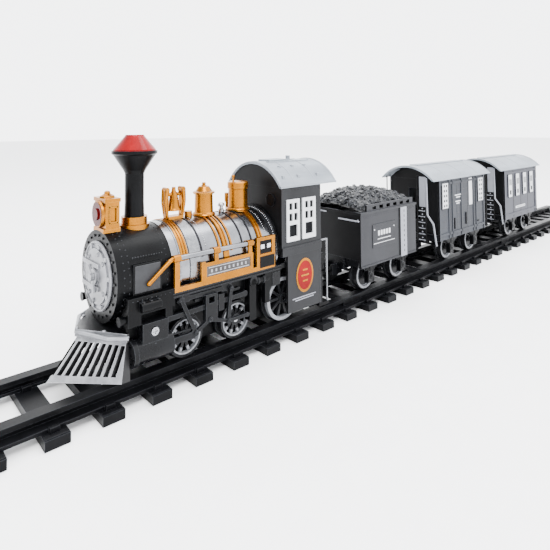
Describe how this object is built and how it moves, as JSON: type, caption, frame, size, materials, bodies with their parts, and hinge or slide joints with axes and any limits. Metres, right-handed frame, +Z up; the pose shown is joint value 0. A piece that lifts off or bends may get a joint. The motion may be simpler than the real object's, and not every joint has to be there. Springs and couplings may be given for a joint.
{
  "type": "model train",
  "caption": "Toy steam locomotive with tender, box car and coach, rolling together on straight track with plug-in ends.",
  "frame": {"origin": "on the ground under the middle of the track", "axes": "+X along the track towards the locomotive's front, +Y to its left side, +Z up"},
  "size_m": [0.8502, 0.068, 0.1356],
  "materials": {
    "track_plastic": "satin dark charcoal",
    "chassis_plastic": "satin black",
    "valve_gear_plastic": "satin dark grey",
    "silver_plastic": "silver-grey paint",
    "smokebox_plastic": "satin black",
    "chrome_plating": "bright plated",
    "gold_plating": "bright gold plated",
    "red_lens": "translucent red",
    "grey_plastic": "satin mid grey",
    "white_plastic": "glossy white",
    "roof_plastic": "pale silver-grey",
    "cell_jacket": "printed sleeve, no marks",
    "steel": "bright steel",
    "board": "green laminate",
    "speaker": "black cone",
    "screw_chrome": "plated",
    "wheel_plastic": "dark grey with pale rims",
    "gear_nylon": "natural nylon",
    "brass": "bright",
    "coal": "rough black"
  },
  "bodies": {
    "track": {"track_front": "track_plastic", "track_middle": "track_plastic", "track_rear": "track_plastic"},
    "locomotive": {"locomotive_chassis": "chassis_plastic", "cylinder_blocks": "valve_gear_plastic", "cowcatcher": "silver_plastic", "smokebox_shell": "smokebox_plastic", "smokebox_door": "silver_plastic", "boiler_shell": "chrome_plating", "boiler_bands": "gold_plating", "chimney_collar": "gold_plating", "chimney": "smokebox_plastic", "chimney_cap": "red_lens", "headlamp_housing": "gold_plating", "headlamp_lens": "red_lens", "bell": "gold_plating", "sand_dome": "gold_plating", "steam_dome": "gold_plating", "handrails": "chrome_plating", "nameplate_frames": "gold_plating", "cab_shell": "grey_plastic", "cab_window_frames": "white_plastic", "cab_roof": "roof_plastic", "battery_cells": "cell_jacket", "battery_contacts": "steel", "battery_cover": "chassis_plastic", "circuit_board": "board", "speaker": "speaker", "lamp_leds": "white_plastic", "chassis_screws": "screw_chrome", "drive_motor": "steel"},
    "front_drive": {"front_drivers": "wheel_plastic", "front_driver_axle": "steel"},
    "rear_drive": {"rear_drivers": "wheel_plastic", "rear_driver_axle": "steel", "axle_gear": "gear_nylon"},
    "idler": {"idler_gear": "gear_nylon"},
    "pinion": {"motor_pinion": "brass"},
    "trailing": {"trailing_wheels": "wheel_plastic", "trailing_axle": "steel"},
    "power_switch": {"power_switch_knob": "chassis_plastic"},
    "tender": {"tender_underframe": "chassis_plastic", "tender_body": "grey_plastic", "coal_load": "coal"},
    "tender_front_wheels": {"tender_front_wheelset": "wheel_plastic"},
    "tender_rear_wheels": {"tender_rear_wheelset": "wheel_plastic"},
    "tender_coupler": {"tender_drawbar": "chassis_plastic"},
    "boxcar": {"boxcar_underframe": "chassis_plastic", "boxcar_body": "grey_plastic", "boxcar_roof": "roof_plastic"},
    "boxcar_front_wheels": {"boxcar_front_wheelset": "wheel_plastic"},
    "boxcar_rear_wheels": {"boxcar_rear_wheelset": "wheel_plastic"},
    "boxcar_coupler": {"boxcar_drawbar": "chassis_plastic"},
    "coach": {"coach_underframe": "chassis_plastic", "coach_body": "grey_plastic", "coach_roof": "roof_plastic"},
    "coach_front_wheels": {"coach_front_wheelset": "wheel_plastic"},
    "coach_rear_wheels": {"coach_rear_wheelset": "wheel_plastic"},
    "coach_coupler": {"coach_drawbar": "chassis_plastic"}
  },
  "joints": [
    {"name": "locomotive_roll", "type": "slide", "parent": "track", "child": "locomotive", "axis": [1, 0, 0], "range_m": [-0.15, 0.04]},
    {"name": "tender_roll", "type": "slide", "parent": "track", "child": "tender", "axis": [1, 0, 0], "range_m": [-0.15, 0.04]},
    {"name": "boxcar_roll", "type": "slide", "parent": "track", "child": "boxcar", "axis": [1, 0, 0], "range_m": [-0.15, 0.04]},
    {"name": "coach_roll", "type": "slide", "parent": "track", "child": "coach", "axis": [1, 0, 0], "range_m": [-0.15, 0.04]},
    {"name": "front_driver_spin", "type": "hinge", "parent": "locomotive", "child": "front_drive", "pos_m": [0.2834, 0, 0.0223], "axis": [0, 1, 0], "range_deg": [-784, 211]},
    {"name": "rear_driver_spin", "type": "hinge", "parent": "locomotive", "child": "rear_drive", "pos_m": [0.2482, 0, 0.0223], "axis": [0, 1, 0], "range_deg": [-784, 211]},
    {"name": "idler_spin", "type": "hinge", "parent": "locomotive", "child": "idler", "pos_m": [0.24642, 0, 0.03239], "axis": [0, 1, 0], "range_deg": [-503, 1878]},
    {"name": "pinion_spin", "type": "hinge", "parent": "locomotive", "child": "pinion", "pos_m": [0.24553, 0, 0.0426], "axis": [0, 1, 0], "range_deg": [-4503, 1203]},
    {"name": "trailing_wheel_spin", "type": "hinge", "parent": "locomotive", "child": "trailing", "pos_m": [0.2085, 0, 0.0253], "axis": [0, 1, 0], "range_deg": [-616, 166]},
    {"name": "tender_front_wheel_spin", "type": "hinge", "parent": "tender", "child": "tender_front_wheels", "pos_m": [0.1194, 0, 0.0225], "axis": [0, 1, 0], "range_deg": [-770, 207]},
    {"name": "tender_rear_wheel_spin", "type": "hinge", "parent": "tender", "child": "tender_rear_wheels", "pos_m": [0.075, 0, 0.0225], "axis": [0, 1, 0], "range_deg": [-770, 207]},
    {"name": "boxcar_front_wheel_spin", "type": "hinge", "parent": "boxcar", "child": "boxcar_front_wheels", "pos_m": [-0.0096, 0, 0.0225], "axis": [0, 1, 0], "range_deg": [-770, 207]},
    {"name": "boxcar_rear_wheel_spin", "type": "hinge", "parent": "boxcar", "child": "boxcar_rear_wheels", "pos_m": [-0.0584, 0, 0.0225], "axis": [0, 1, 0], "range_deg": [-770, 207]},
    {"name": "coach_front_wheel_spin", "type": "hinge", "parent": "coach", "child": "coach_front_wheels", "pos_m": [-0.1566, 0, 0.0225], "axis": [0, 1, 0], "range_deg": [-770, 207]},
    {"name": "coach_rear_wheel_spin", "type": "hinge", "parent": "coach", "child": "coach_rear_wheels", "pos_m": [-0.2054, 0, 0.0225], "axis": [0, 1, 0], "range_deg": [-770, 207]},
    {"name": "tender_drawbar_lift", "type": "hinge", "parent": "tender", "child": "tender_coupler", "pos_m": [0.13845, 0, 0.0255], "axis": [0, -1, 0], "range_deg": [0, 25]},
    {"name": "boxcar_drawbar_lift", "type": "hinge", "parent": "boxcar", "child": "boxcar_coupler", "pos_m": [0.019, 0, 0.0255], "axis": [0, -1, 0], "range_deg": [0, 25]},
    {"name": "coach_drawbar_lift", "type": "hinge", "parent": "coach", "child": "coach_coupler", "pos_m": [-0.128, 0, 0.0255], "axis": [0, -1, 0], "range_deg": [0, 25]},
    {"name": "power_switch_slide", "type": "slide", "parent": "locomotive", "child": "power_switch", "axis": [1, 0, 0], "range_m": [0, 0.004]}
  ],
  "couplings": [
    {"joint": "tender_roll", "follows": "locomotive_roll", "ratio": 1},
    {"joint": "boxcar_roll", "follows": "locomotive_roll", "ratio": 1},
    {"joint": "coach_roll", "follows": "locomotive_roll", "ratio": 1},
    {"joint": "front_driver_spin", "follows": "locomotive_roll", "rad_per_m": 90.909},
    {"joint": "rear_driver_spin", "follows": "locomotive_roll", "rad_per_m": 90.909},
    {"joint": "idler_spin", "follows": "locomotive_roll", "rad_per_m": -218.18},
    {"joint": "pinion_spin", "follows": "locomotive_roll", "rad_per_m": 523.64},
    {"joint": "trailing_wheel_spin", "follows": "locomotive_roll", "rad_per_m": 71.429},
    {"joint": "tender_front_wheel_spin", "follows": "locomotive_roll", "rad_per_m": 89.286},
    {"joint": "tender_rear_wheel_spin", "follows": "locomotive_roll", "rad_per_m": 89.286},
    {"joint": "boxcar_front_wheel_spin", "follows": "locomotive_roll", "rad_per_m": 89.286},
    {"joint": "boxcar_rear_wheel_spin", "follows": "locomotive_roll", "rad_per_m": 89.286},
    {"joint": "coach_front_wheel_spin", "follows": "locomotive_roll", "rad_per_m": 89.286},
    {"joint": "coach_rear_wheel_spin", "follows": "locomotive_roll", "rad_per_m": 89.286}
  ]
}
